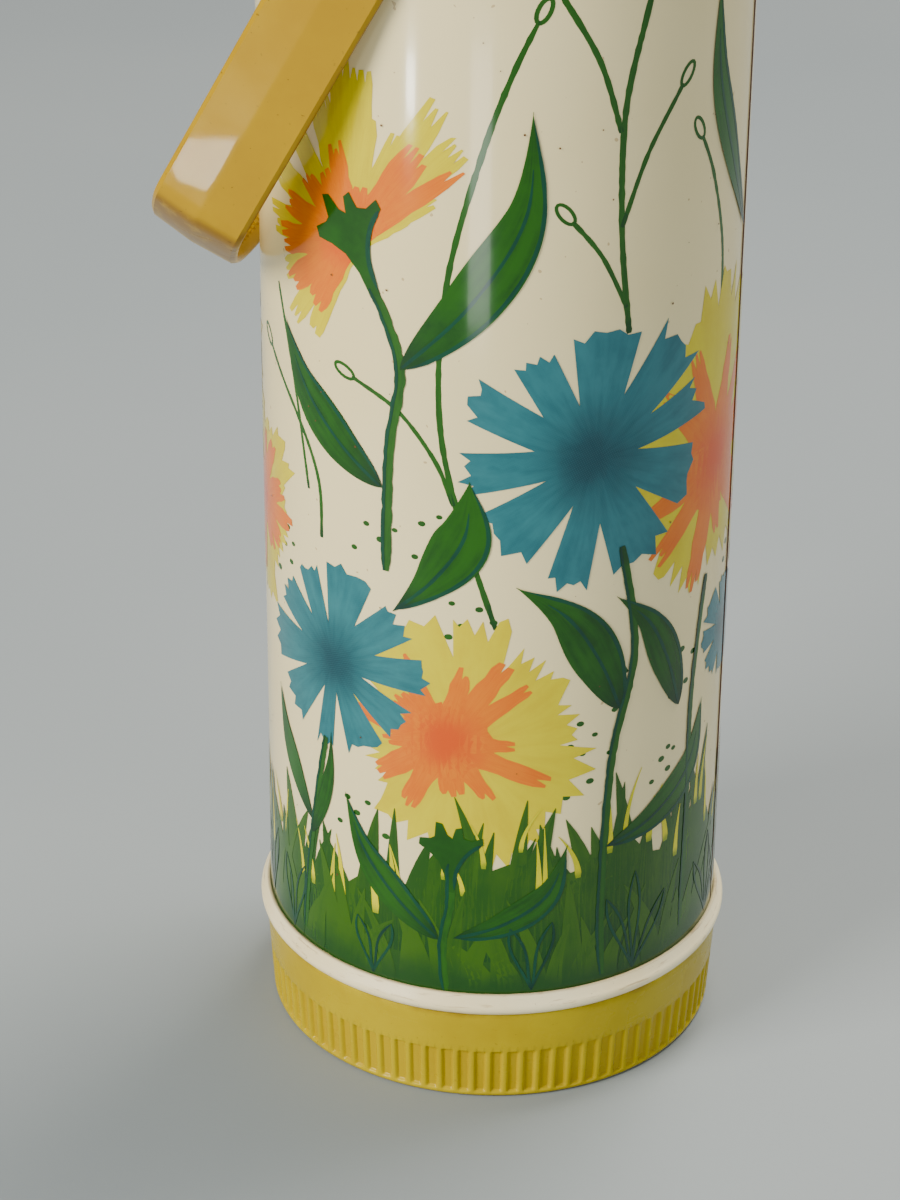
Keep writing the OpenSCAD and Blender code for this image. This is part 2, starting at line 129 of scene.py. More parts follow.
class Shader:
    """A material under construction, with short calls for its nodes."""

    def __init__(self, name):
        self.material = bpy.data.materials.new(name)
        self.material.use_nodes = True
        self.tree = self.material.node_tree
        self.surface = self.tree.nodes["Principled BSDF"]
        self.place = self.put("TexCoord").outputs["Object"]

    def put(self, kind, inputs=None, **settings):
        node = self.tree.nodes.new("ShaderNode" + kind)
        for key, value in settings.items():
            setattr(node, key, value)
        for key, value in (inputs or {}).items():
            self.feed(node.inputs[key], value)
        return node

    def feed(self, socket, value):
        if isinstance(value, bpy.types.NodeSocket):
            self.tree.links.new(value, socket)
        else:
            socket.default_value = value

    def finish(self, **sockets):
        """Sets the surface's sockets, with _ for a space, and gives the material."""
        for key, value in sockets.items():
            self.feed(self.surface.inputs[key.replace("_", " ")], value)
        return self.material

    def math(self, operation, a, b=0.0):
        return self.put("Math", {0: a, 1: b}, operation=operation).outputs[0]

    def times(self, a, b):
        return self.math("MULTIPLY", a, b)

    def plus(self, a, b):
        return self.math("ADD", a, b)

    def mix(self, factor, a, b):
        node = self.put("Mix", {0: factor, 6: a, 7: b}, data_type="RGBA")
        return node.outputs[2]

    def span(self, value, low, high, out_low=0.0, out_high=1.0):
        """Value from low to high as a smooth step from out_low to out_high."""
        node = self.put("MapRange", {0: value, 1: low, 2: high, 3: out_low, 4: out_high},
                        interpolation_type="SMOOTHSTEP")
        return node.outputs[0]

    def noise(self, scale, detail=3.0, rough=0.5, stretch=(1, 1, 1), at=None):
        """Noise over the piece, finer along the axes that stretch makes larger."""
        place = self.put("Mapping", {"Vector": at or self.place, "Scale": stretch})
        return self.put("TexNoise", {"Vector": place.outputs[0], "Scale": scale,
                                     "Detail": detail, "Roughness": rough}).outputs[0]

    def axes(self):
        """X, Y and Z of the place, in metres."""
        parts = self.put("SeparateXYZ", {0: self.place})
        return parts.outputs[0], parts.outputs[1], parts.outputs[2]

    def rolled(self):
        """The place round the pot's axis: the angle in radians, and the height in metres."""
        x, y, z = self.axes()
        return self.math("ARCTAN2", y, x), z

    def bump(self, height, depth, strength=1.0):
        return self.put("Bump", {"Height": height, "Distance": depth,
                                 "Strength": strength}).outputs[0]


def moulded(name, light, dark, roughness, scratch=0.25, marks_and_shade=None, coat=0.05):
    """Injection-moulded plastic: a faint cloudiness, hairline scratches and an even fine bump."""
    s = Shader(name)
    cloud = s.noise(38, 4, 0.6)
    colour = s.mix(s.span(cloud, 0.35, 0.7), light, dark)
    speck = s.span(s.noise(900, 2, 0.5), 0.70, 0.76)
    colour = s.mix(s.times(speck, 0.35), colour, srgb(96, 74, 30))
    hair = s.noise(60, 2, 0.5, stretch=(1, 1, 26))
    hair_across = s.noise(60, 2, 0.5, stretch=(24, 24, 1))
    lines = s.times(s.span(hair, 0.62, 0.70), s.span(hair_across, 0.45, 0.6))
    colour = s.mix(s.times(lines, scratch), colour, light)
    # Dirt, wear and painted shade, on the pieces that are given them
    if marks_and_shade:
        colour = marks_and_shade(s, colour)
    fine = s.noise(700, 3, 0.6)
    wave = s.noise(45, 2, 0.5)
    height = s.plus(s.times(fine, 0.2), wave)
    rough = s.plus(s.span(cloud, 0.3, 0.75, roughness - 0.03, roughness + 0.07),
                   s.times(lines, 0.15))
    return s.finish(Base_Color=colour, Roughness=rough,
                    Normal=s.bump(height, 0.00006), Coat_Weight=coat, Coat_Roughness=0.04,
                    Specular_IOR_Level=0.22)


def dirt_and_shade_on_base(s, colour):
    """Dirt and painted shade in a patchy brown line under the ring, painted shade in the flute
    grooves, and small dark marks on the band.
    """
    x, y, z = s.axes()
    radius = s.math("SQRT", s.plus(s.times(x, x), s.times(y, y)))
    patch = s.noise(55, 4, 0.65)
    # Painted shade under the ring's overhang, broken up by patchy noise like dirt
    shade_under_ring = s.span(z, (BASE_TOP - 2.2) * MM, (BASE_TOP - 0.1) * MM)
    line = s.times(shade_under_ring, s.span(patch, 0.38, 0.66))
    colour = s.mix(s.times(line, 0.6), colour, srgb(120, 86, 14))
    # Painted shade: the flute grooves get darker the deeper they sink below the cup's wall
    wall = s.plus(s.times(z, CUP_FLARE), (BASE_R_FOOT - BASE_LOW * CUP_FLARE) * MM)
    deep = s.span(s.math("SUBTRACT", wall, radius), 0.0002, 0.0009)
    colour = s.mix(s.times(deep, 0.35), colour, srgb(176, 142, 0))
    marks = s.span(s.noise(150, 3, 0.7, stretch=(1, 1, 2)), 0.68, 0.74)
    return s.mix(s.times(marks, 0.30), colour, srgb(134, 92, 20))


def dirt_and_shade_on_handle(s, colour):
    """Painted shade on the faces that look down at the bends, broken up by patchy noise; scuffs and
    dirt near the bends, and a few dark nicks.
    """
    x, y, z = s.axes()
    side = s.math("ABSOLUTE", y)
    # Painted shade: faces that look downwards near the bends are darkened, in patches
    facing = s.put("SeparateXYZ", {0: s.put("NewGeometry").outputs["Normal"]}).outputs[2]
    below = s.times(s.span(facing, -0.25, -0.50), s.span(side, 0.046, 0.052))
    patch = s.noise(170, 4, 0.7)
    colour = s.mix(s.times(s.times(below, s.span(patch, 0.25, 0.50)), 0.8),
                   colour, srgb(120, 84, 10))
    near_bend = s.times(s.span(z, 0.250, 0.232, 0.0, 1.0), s.span(side, 0.052, 0.062))
    colour = s.mix(s.times(s.times(near_bend, s.span(patch, 0.56, 0.66)), 0.3),
                   colour, srgb(140, 100, 8))
    nicks = s.span(s.noise(420, 2, 0.5, stretch=(1, 1, 1.6)), 0.715, 0.735)
    return s.mix(s.times(nicks, 0.6), colour, srgb(92, 58, 16))


def wear_and_shade_on_ring(s, colour):
    """Fine scratches that run round the ring, grey-brown marks, and painted shade along its top edge
    where it meets the sleeve.
    """
    angle, z = s.rolled()
    around = s.put("CombineXYZ", {0: s.times(angle, 0.9), 2: s.times(z, 140)})
    hair = s.noise(7, 4, 0.6, at=around.outputs[0])
    colour = s.mix(s.times(s.span(hair, 0.56, 0.68), 0.55), colour, srgb(170, 140, 92))
    marks = s.span(s.noise(180, 3, 0.7), 0.66, 0.72)
    colour = s.mix(s.times(marks, 0.6), colour, srgb(120, 92, 60))
    # Painted shade along the ring's top edge, in the crease against the sleeve
    shade_at_sleeve = s.span(z, (RING_TOP - 0.5) * MM, RING_TOP * MM)
    return s.mix(s.times(shade_at_sleeve, 0.35), colour, srgb(140, 118, 82))


def lacquered(name, colour_of):
    """Glossy lacquer over the sheet: all inks share its finish and its faint orange peel."""
    s = Shader(name)
    peel = s.noise(150, 2, 0.5)
    return s.finish(Base_Color=colour_of(s), Roughness=0.13,
                    Normal=s.bump(peel, 0.00002), Coat_Weight=0.2, Coat_Roughness=0.05,
                    Specular_IOR_Level=0.32)


def raster(s, pitch, slant):
    """The print's dot screen: 0 between dots and 1 in their middles."""
    angle, z = s.rolled()
    across = s.times(angle, SLEEVE_R / pitch)
    up = s.times(z, 1 / (pitch * MM))
    c, k = math.cos(slant) * math.pi, math.sin(slant) * math.pi
    one = s.plus(s.times(across, c), s.times(up, k))
    two = s.math("SUBTRACT", s.times(up, c), s.times(across, k))
    return s.times(s.math("ABSOLUTE", s.math("SINE", one)),
                  s.math("ABSOLUTE", s.math("SINE", two)))


def cream_ground(s):
    """Aged cream lacquer with the odd speck."""
    tone = s.mix(s.span(s.noise(9, 3, 0.5), 0.35, 0.7), srgb(243, 231, 180), srgb(237, 223, 167))
    speck = s.span(s.noise(420, 1, 0.4), 0.765, 0.785)
    return s.mix(s.times(speck, 0.5), tone, srgb(150, 110, 60))


def painted(light, dark, deep, streak, screen, deep_to):
    """Water-colour ink: streaks along the stroke, with a dot screen, and deeper at its root."""
    def colour_of(s):
        stroke = s.put("UVMap", uv_map="stroke").outputs[0]
        parts = s.put("SeparateXYZ", {0: stroke})
        along = parts.outputs[0]
        tone = s.put("Attribute", attribute_name="tone").outputs["Fac"]
        brush = s.noise(1.0, 3, 0.6, stretch=(streak[0], streak[1], 1), at=stroke)
        wash = s.noise(70, 4, 0.65)
        level = s.plus(s.times(brush, 0.6), s.times(wash, 0.5))
        level = s.plus(level, s.times(s.math("SUBTRACT", tone, 0.5), 0.5))
        colour = s.mix(s.span(level, 0.38, 0.78), light, dark)
        edge = s.plus(along, s.times(s.math("SUBTRACT", wash, 0.5), 0.5))
        colour = s.mix(s.span(edge, 0.02, deep_to, 0.85, 0.0), colour, deep)
        dots = s.times(s.span(raster(s, 0.55, 0.45), 0.35, 0.75), screen)
        return s.mix(dots, colour, light)
    return colour_of


def metal(name, colour, roughness, brush=(1, 1, 30)):
    """Plated metal with a fine brushed grain."""
    s = Shader(name)
    grain = s.noise(260, 3, 0.6, stretch=brush)
    tone = s.mix(s.span(grain, 0.3, 0.7), colour, tuple(c * 0.8 for c in colour[:3]) + (1,))
    return s.finish(Base_Color=tone, Metallic=1.0,
                    Roughness=s.span(grain, 0.2, 0.8, roughness, roughness + 0.12),
                    Normal=s.bump(grain, 0.00002))


def soft(name, colour, roughness, grain_size=500):
    """Rubber, felt or soft plastic: matt, with a fine grain and dust in it."""
    s = Shader(name)
    grain = s.noise(grain_size, 4, 0.65)
    dust = s.span(s.noise(60, 4, 0.6), 0.45, 0.75)
    pale = tuple(lerp(c, 0.5, 0.14) for c in colour[:3]) + (1,)
    return s.finish(Base_Color=s.mix(dust, colour, pale),
                    Roughness=s.span(grain, 0.2, 0.8, roughness - 0.08, roughness + 0.08),
                    Normal=s.bump(grain, 0.00008))


YELLOW, YELLOW_DARK = srgb(190, 170, 0), srgb(180, 158, 0)
HANDLE_YELLOW, HANDLE_DARK = srgb(178, 143, 0), srgb(170, 134, 0)
CREAM, CREAM_DARK = srgb(252, 243, 202), srgb(246, 233, 186)

yellow_plastic = moulded("yellow_plastic", YELLOW, YELLOW_DARK, 0.24)
base_plastic = moulded("base_plastic", YELLOW, YELLOW_DARK, 0.26, marks_and_shade=dirt_and_shade_on_base)
handle_plastic = moulded("handle_plastic", HANDLE_YELLOW, HANDLE_DARK, 0.30,
                         marks_and_shade=dirt_and_shade_on_handle, coat=0.14)
cream_plastic = moulded("cream_plastic", CREAM, CREAM_DARK, 0.30)
ring_plastic = moulded("ring_plastic", CREAM, CREAM_DARK, 0.30, 0.1, wear_and_shade_on_ring)
cream_gloss = moulded("cream_gloss", CREAM, CREAM_DARK, 0.18)
pipe_plastic = moulded("pipe_plastic", srgb(222, 217, 200), srgb(208, 202, 182), 0.35)
bellows_plastic = moulded("bellows_plastic", srgb(214, 212, 202), srgb(196, 194, 184), 0.42)
rubber_black = soft("rubber_black", srgb(46, 45, 44), 0.7)
rubber_pale = soft("rubber_pale", srgb(206, 200, 186), 0.6)
felt = soft("felt", srgb(172, 152, 120), 0.9, 900)
zinc_steel = metal("zinc_steel", srgb(188, 188, 186), 0.28)
chrome = metal("chrome", srgb(214, 214, 212), 0.10)
silvered = metal("silvered_glass", srgb(226, 228, 230), 0.06, (1, 1, 2))

CAD_LOOKS = {
    "foot_pad": rubber_black, "refill_cushion": rubber_black, "neck_gasket": rubber_black,
    "holder_gasket": rubber_black, "air_valve": rubber_black, "lid_gasket": rubber_pale,
    "refill_outer_glass": silvered, "refill_inner_glass": silvered, "refill_pads": felt,
    "shoulder": yellow_plastic, "spout_housing": yellow_plastic, "lid_shell": yellow_plastic,
    "mouth_ring": cream_plastic, "pipe_holder": cream_plastic, "spout_nozzle": cream_plastic,
    "lid_liner": cream_plastic, "pump_plate": cream_gloss, "lid_latch": cream_gloss,
    "lock_slider": cream_gloss, "dip_tube": pipe_plastic, "delivery_pipe": pipe_plastic,
    "mouth_screws": zinc_steel, "lid_screws": zinc_steel, "hinge_pin": zinc_steel,
    "latch_pin": zinc_steel, "handle_pins": chrome,
}


def dress_cad_nodes():
    """Gives each CAD node that stays in view its material, and joins its doubled corners."""
    for name, material in CAD_LOOKS.items():
        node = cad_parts[name]
        node.data.materials.clear()
        node.data.materials.append(material)
        weld = node.modifiers.new("weld", "WELD")
        weld.merge_threshold = 0.00001


# ---- Solids of revolution ----


def lathe(name, outline, turns, radius_of=None):
    """A closed outline of (radius, height) turned about Z; radius_of may vary the radius."""
    mesh = bpy.data.meshes.new(name)
    points, faces = [], []
    count = len(outline)
    for i in range(turns):
        a = 2 * math.pi * i / turns
        for r, z in outline:
            if radius_of:
                r = radius_of(r, z, a)
            points.append((r * math.cos(a) * MM, r * math.sin(a) * MM, z * MM))
    for i in range(turns):
        j = (i + 1) % turns
        for k in range(count):
            n = (k + 1) % count
            faces.append((i * count + k, j * count + k, j * count + n, i * count + n))
    mesh.from_pydata(points, [], faces)
    mesh.shade_smooth()
    mesh.set_sharp_from_angle(angle=math.radians(40))
    return mesh


def rounded(cx, cz, r, a0, a1, steps):
    """Points of an arc, with angles in degrees."""
    angles = [math.radians(lerp(a0, a1, i / steps)) for i in range(steps + 1)]
    return [(cx + r * math.cos(a), cz + r * math.sin(a)) for a in angles]


def closed_tube(rings, count, first=0):
    """Faces of a tube: rings of count points each, one after another, and a cap at each end."""
    faces = []
    for i in range(rings - 1):
        a = first + i * count
        b = a + count
        for k in range(count):
            n = (k + 1) % count
            faces.append((a + k, a + n, b + n, b + k))
    last = first + (rings - 1) * count
    faces.append(tuple(reversed(range(first, first + count))))
    faces.append(tuple(range(last, last + count)))
    return faces


# ---- Base ----

FLUTES = 88
COLUMNS_PER_FLUTE = 14
FLUTE_TOP = 15.6
FLUTE_LOW = BASE_LOW + 1.2
FLUTE_DEPTH = 0.85
# Height over which a groove runs out at its lower and at its upper end
RUN_OUT_LOW = 0.8
RUN_OUT_TOP = 0.7
CUP_WALL = 2.5
CUP_FLOOR_TOP = 8.0
# The recess under the cup, which takes the rubber pad
PAD_RECESS_R = 57.8
PAD_RECESS_TOP = 3.0
CUP_HOLE_R = 20


def cup_radius(z):
    return BASE_R_FOOT + (z - BASE_LOW) * CUP_FLARE


def fluted_radius(r, z, a):
    """Narrow round ribs with broad flat grooves between them; the grooves end squarely above."""
    if r < BASE_R_FOOT - 0.45 or z < FLUTE_LOW or z > FLUTE_TOP:
        return r
    u = abs((a * FLUTES / (2 * math.pi)) % 1.0 - 0.5) * 2
    groove = smooth((0.80 - u) / 0.38)
    ends = smooth((z - FLUTE_LOW) / RUN_OUT_LOW) * smooth((FLUTE_TOP - z) / RUN_OUT_TOP)
    return r - FLUTE_DEPTH * groove * ends


def build_base():
    """The screw base: a plain band above and fine flutes below for the hand."""
    wall = [(BASE_R_FOOT - 0.6, BASE_LOW), (BASE_R_FOOT - 0.2, BASE_LOW + 0.2)]
    steps = [BASE_LOW + 0.7, FLUTE_LOW]
    steps += [FLUTE_LOW + up for up in (0.25, 0.5, RUN_OUT_LOW)]
    steps += [lerp(FLUTE_LOW + RUN_OUT_LOW, FLUTE_TOP - RUN_OUT_TOP, (i + 1) / 8)
              for i in range(8)]
    steps += [FLUTE_TOP - down for down in (0.45, 0.22, 0.0)]
    steps += [lerp(FLUTE_TOP, BASE_TOP - 0.6, (i + 1) / 6) for i in range(6)]
    wall += [(cup_radius(z), z) for z in steps]
    wall += [(BASE_R_TOP - 0.15, BASE_TOP - 0.2), (BASE_R_TOP - 0.5, BASE_TOP)]
    hollow = [(BASE_R_TOP - CUP_WALL, BASE_TOP), (BASE_R_TOP - CUP_WALL, CUP_FLOOR_TOP),
              (CUP_HOLE_R, CUP_FLOOR_TOP), (CUP_HOLE_R, PAD_RECESS_TOP),
              (PAD_RECESS_R, PAD_RECESS_TOP), (PAD_RECESS_R, BASE_LOW)]
    mesh = lathe("fluted_base", wall + hollow, FLUTES * COLUMNS_PER_FLUTE, fluted_radius)
    make_object("fluted_base", mesh, base_plastic, "pot", ["base_cup"])


# The ring's neck, which reaches down into the cup and up inside the sleeve
NECK_R = 59.4
NECK_BORE_R = 57.0
NECK_LOW = 13.0
NECK_TOP = 44.0


def build_ring():
    """The cream ring: its upper face falls outwards from the sleeve to a round edge."""
    low = BASE_TOP + 0.1
    seat = SLEEVE_LOW + 1.0
    outline = [(NECK_BORE_R, NECK_LOW), (NECK_R, NECK_LOW), (NECK_R, low), (RING_R - 1.6, low)]
    outline += rounded(RING_R - 2.1, low + 2.3, 2.1, -72, 52, 12)
    outline += rounded(SLEEVE_R + 0.85, RING_TOP - 0.7, 0.7, 62, 150, 6)
    outline += [(SLEEVE_R + 0.3, RING_TOP - 0.9), (SLEEVE_R + 0.06, seat),
                (SLEEVE_R - 0.7, seat), (SLEEVE_R - 0.7, NECK_TOP), (NECK_BORE_R, NECK_TOP)]
    mesh = lathe("bead_ring", outline, 360)
    make_object("bead_ring", mesh, ring_plastic, "pot", ["bottom_ring"])


def build_sleeve():
    """The rolled sheet, whose lower edge tucks into the ring."""
    sheet = 0.6
    rows = [SLEEVE_LOW, RING_TOP, 80, 140, 200, 260, SLEEVE_TOP]
    outline = [(SLEEVE_R, z) for z in rows] + [(SLEEVE_R - sheet, z) for z in reversed(rows)]
    mesh = lathe("sleeve_sheet", outline, 540)
    ground = lacquered("cream_lacquer", cream_ground)
    make_object("sleeve_sheet", mesh, ground, "pot", ["body_sleeve"])


# ---- The print ----


def on_sleeve(x, z, lift):
    """A place in the unrolled print, from the line that faces the camera, on the sleeve."""
    a = FRONT_ANGLE + x / SLEEVE_R
    r = SLEEVE_R + lift
    return Vector((r * math.cos(a) * MM, r * math.sin(a) * MM, z * MM))


# Longest step over which a shape may stay flat before it is bent round the sleeve
PRINT_STEP = 2.5
PRINT_LOW = RING_TOP - 0.2
PRINT_TOP = SLEEVE_TOP - 5.5


class Ink:
    """All shapes of one ink. They are drawn flat, and then rolled onto the sleeve twice round."""

    def __init__(self, name, lift, colour_of):
        self.name, self.lift, self.colour_of = name, lift, colour_of
        self.points, self.strokes, self.tones, self.faces = [], [], [], []

    def add(self, x, z, along, across, tone):
        self.points.append((x, min(max(z, PRINT_LOW), PRINT_TOP)))
        self.strokes.append((along, across))
        self.tones.append(tone)
        return len(self.points) - 1

    def grid(self, rows, tone=0.5):
        """A ribbon: rows of (x, z, along, across), all of one length."""
        ids = [[self.add(*p, tone) for p in row] for row in rows]
        for a, b in zip(ids, ids[1:]):
            for k in range(len(a) - 1):
                self.faces.append((a[k], a[k + 1], b[k + 1], b[k]))

    def fill(self, outline, stroke_of, tone=0.5):
        """A filled outline of (x, z), cut small enough to follow the sleeve."""
        edge = []
        for (x0, z0), (x1, z1) in zip(outline, outline[1:] + outline[:1]):
            parts = max(1, math.ceil(math.hypot(x1 - x0, z1 - z0) / PRINT_STEP))
            edge += [(lerp(x0, x1, i / parts), lerp(z0, z1, i / parts)) for i in range(parts)]
        xs, zs = [p[0] for p in edge], [p[1] for p in edge]
        points = [Vector(p) for p in edge]
        for i in range(int((max(xs) - min(xs)) / PRINT_STEP) + 1):
            for k in range(int((max(zs) - min(zs)) / PRINT_STEP) + 1):
                spot = (min(xs) + (i + 0.5) * PRINT_STEP, min(zs) + (k + 0.5 * (i % 2)) * PRINT_STEP)
                if inside(spot, edge):
                    points.append(Vector(spot))
        loop = [(i, (i + 1) % len(edge)) for i in range(len(edge))]
        made, _, faces, *_ = delaunay_2d_cdt(points, loop, [], 1, 1e-4)
        ids = [self.add(p.x, p.y, *stroke_of(p.x, p.y), tone) for p in made]
        self.faces += [tuple(ids[i] for i in f) for f in faces]

    def build(self):
        mesh = bpy.data.meshes.new(self.name)
        count = len(self.points)
        places, faces = [], []
        for turn in range(2):
            shift = turn * ROUND / 2
            places += [on_sleeve(x + shift, z, self.lift) for x, z in self.points]
            faces += [tuple(i + turn * count for i in f) for f in self.faces]
        mesh.from_pydata(places, [], faces)
        uv = mesh.uv_layers.new(name="stroke")
        for loop in mesh.loops:
            uv.data[loop.index].uv = self.strokes[loop.vertex_index % count]
        tone = mesh.attributes.new("tone", "FLOAT", "POINT")
        tone.data.foreach_set("value", self.tones * 2)
        outwards(mesh)
        material = lacquered(self.name, self.colour_of)
        make_object(self.name, mesh, material, "pot")


def outwards(mesh):
    """Turns every face outwards and gives the mesh the sleeve's own normals."""
    mesh.validate()
    work = bmesh.new()
    work.from_mesh(mesh)
    for face in work.faces:
        face.normal_update()
        middle = face.calc_center_median()
        if face.normal.x * middle.x + face.normal.y * middle.y < 0:
            face.normal_flip()
        face.smooth = True
    work.to_mesh(mesh)
    work.free()
    normals = [Vector((v.co.x, v.co.y, 0)).normalized() for v in mesh.vertices]
    mesh.normals_split_custom_set_from_vertices(normals)


def inside(spot, outline):
    """True if the spot lies inside the closed outline."""
    x, z = spot
    hit = False
    for (x0, z0), (x1, z1) in zip(outline, outline[1:] + outline[:1]):
        if (z0 > z) != (z1 > z) and x < lerp(x0, x1, (z - z0) / (z1 - z0)):
            hit = not hit
    return hit


def through(points, step=1.6):
    """A smooth curve through the points, as places about one step apart."""
    ends = [points[0]] + list(points) + [points[-1]]
    path = []
    for i in range(len(points) - 1):
        p0, p1, p2, p3 = (Vector(p) for p in ends[i:i + 4])
        parts = max(2, math.ceil((p2 - p1).length / step))
        for k in range(parts):
            t = k / parts
            path.append(0.5 * (2 * p1 + (p2 - p0) * t + (2 * p0 - 5 * p1 + 4 * p2 - p3) * t * t
                               + (3 * p1 - p0 - 3 * p2 + p3) * t ** 3))
    path.append(Vector(points[-1]))
    return path


def ribbon(ink, path, width_at, columns=1, tone=0.5, lean=0.0, rng=None):
    """A stroke along a path. width_at gives its full width from 0 to 1 along it."""
    rows = []
    last = len(path) - 1
    for i, p in enumerate(path):
        ahead = path[min(i + 1, last)] - path[max(i - 1, 0)]
        side = Vector((-ahead.y, ahead.x)).normalized()
        t = i / last
        w = width_at(t) / 2
        if rng:
            w *= rng.uniform(0.86, 1.14)
        row = []
        for k in range(columns + 1):
            v = lerp(-1, 1, k / columns)
            q = p + side * w * (v + lean)
            row.append((q.x, q.y, t, 0.5 + v / 2))
        rows.append(row)
    ink.grid(rows, tone)


def tapered(width, start=0.35, end=0.15):
    """A stroke that thickens soon after its start and thins towards its end."""
    def width_at(t):
        return width * min(1.0, start + t * 8) * min(1.0, end + (1 - t) * 5)
    return width_at


def leaf_width(width, belly=0.45):
    """A leaf's width: pointed at both ends, widest at belly."""
    def width_at(t):
        u = t ** (math.log(0.5) / math.log(belly))
        return max(width * math.sin(math.pi * u) ** (1.1 if t < belly else 1.6), 0.15)
    return width_at


def burst(rng, radius, petals, slit, gap, teeth, depth, start=0.0, uneven=0.12):
    """The ragged outline of a flower head about the origin.

    Petals are wedges of uneven width with toothed ends, and slits run in between them to a
    share of the radius. The gap and the start are in degrees.
    """
    widths = [rng.uniform(0.7, 1.3) for _ in range(petals)]
    scale = 360.0 / sum(widths)
    outline = []
    angle = start
    for share in widths:
        wide = share * scale
        notch = radius * rng.uniform(*slit)
        outline.append((angle, notch))
        reach = radius * rng.uniform(1 - uneven, 1.0)
        a0 = angle + gap * rng.uniform(0.5, 1.4)
        a1 = angle + wide - gap * rng.uniform(0.5, 1.4)
        points = 2 * teeth + 1
        for k in range(points):
            high = k % 2 == 0 or rng.random() < 0.15
            r = reach * (rng.uniform(0.93, 1.03) if high else 1 - depth * rng.uniform(0.5, 1.2))
            outline.append((lerp(a0, a1, (k + rng.uniform(-0.25, 0.25) * (0 < k < points - 1))
                                 / (points - 1)), r))
        angle += wide
    return [(r * math.cos(math.radians(a)), r * math.sin(math.radians(a))) for a, r in outline]


def frayed(ink, centre, tips, root, rng, tone=0.5):
    """Brush strokes out of a centre. Each tip is (x, z, width there), and its end is torn."""
    centre = Vector(centre)
    # Share of the stroke that is whole, before its torn end
    body = 0.86
    for x, z, width in tips:
        tip = Vector((x, z))
        ahead = tip - centre
        long = ahead.length
        ahead.normalize()
        side = Vector((-ahead.y, ahead.x))
        rows = []
        for i in range(9):
            t = i / 8
            w = lerp(root, width, t ** 0.8) / 2 * rng.uniform(0.9, 1.12)
            p = centre + ahead * long * t * body
            rows.append([(p.x + side.x * w * v, p.y + side.y * w * v, t * body, 0.5 + v / 2)
                         for v in (-1, -0.5, 0, 0.5, 1)])
        ink.grid(rows, tone)
        teeth = max(2, round(width / 2.2))
        last = [Vector(q[:2]) for q in (rows[-1][0], rows[-1][-1])]
        for k in range(teeth):
            a = last[0].lerp(last[1], k / teeth)
            b = last[0].lerp(last[1], (k + 1) / teeth)
            out = long * rng.uniform(0.06, 0.17)
            c, d = b + ahead * out * 0.9, a + ahead * out
            m = (a + b) / 2 + ahead * out * rng.uniform(0.6, 1.1)
            d, c = d.lerp(m, rng.uniform(0.2, 0.8)), c.lerp(m, rng.uniform(0.2, 0.8))
            ink.grid([[(a.x, a.y, body, k / teeth), (b.x, b.y, body, (k + 1) / teeth)],
                      [(d.x, d.y, 1, k / teeth), (c.x, c.y, 1, (k + 1) / teeth)]], tone)


def moved(outline, x, z):
    return [(px + x, pz + z) for px, pz in outline]


def from_centre(cx, cz, radius):
    """How far along and at what angle a place lies in a flower."""
    def stroke_of(x, z):
        return (math.hypot(x - cx, z - cz) / radius,
                (math.atan2(z - cz, x - cx) / math.pi + 1) * 1.5)
    return stroke_of


BLUE = painted(srgb(50, 120, 130), srgb(26, 96, 108), srgb(0, 46, 62), (2.5, 14), 0.2, 0.55)
PETAL_YELLOW = painted(srgb(216, 204, 0), srgb(204, 186, 0), srgb(208, 172, 0), (2, 12), 0.1, 0.3)
ORANGE = painted(srgb(228, 124, 8), srgb(216, 100, 4), srgb(214, 72, 12), (3, 22), 0.1, 0.45)
LEAF = painted(srgb(30, 92, 6), srgb(10, 62, 6), srgb(4, 48, 20), (2, 5), 0.06, 0.3)
STEM = painted(srgb(34, 92, 14), srgb(16, 68, 12), srgb(8, 58, 20), (6, 2), 0.04, 0.1)
VEIN = painted(srgb(2, 72, 50), srgb(0, 52, 38), srgb(0, 50, 40), (5, 2), 0.05, 0.1)
GRASS = painted(srgb(54, 98, 4), srgb(28, 78, 8), srgb(12, 66, 20), (1.0, 2), 0.06, 0.45)
GLOW = painted(srgb(228, 220, 4), srgb(190, 190, 4), srgb(110, 140, 6), (3, 6), 0.08, 0.2)
FLECK = painted(srgb(120, 84, 44), srgb(88, 56, 30), srgb(88, 56, 30), (3, 6), 0.0, 0.2)

INKS = {
    "dots": Ink("print_dots", 0.05, STEM),
    "sprigs": Ink("print_sprigs", 0.06, STEM),
    "petals": Ink("print_yellow_petals", 0.08, PETAL_YELLOW),
    "orange": Ink("print_orange_strokes", 0.11, ORANGE),
    "blue": Ink("print_blue_flowers", 0.14, BLUE),
    "grass_back": Ink("print_grass_back", 0.17, GRASS),
    "glow": Ink("print_grass_glow", 0.20, GLOW),
    "grass": Ink("print_grass", 0.23, GRASS),
    "stems": Ink("print_stems", 0.26, STEM),
    "leaves": Ink("print_leaves", 0.29, LEAF),
    "veins": Ink("print_veins", 0.32, VEIN),
    "flecks": Ink("print_flecks", 0.34, FLECK),
}


def blue_flower(seed, x, z, radius, petals=10):
    rng = random.Random(seed)
    outline = burst(rng, radius, petals, slit=(0.28, 0.50), gap=6.0, teeth=3, depth=0.10,
                    start=rng.uniform(0, 40), uneven=0.14)
    INKS["blue"].fill(moved(outline, x, z), from_centre(x, z, radius))


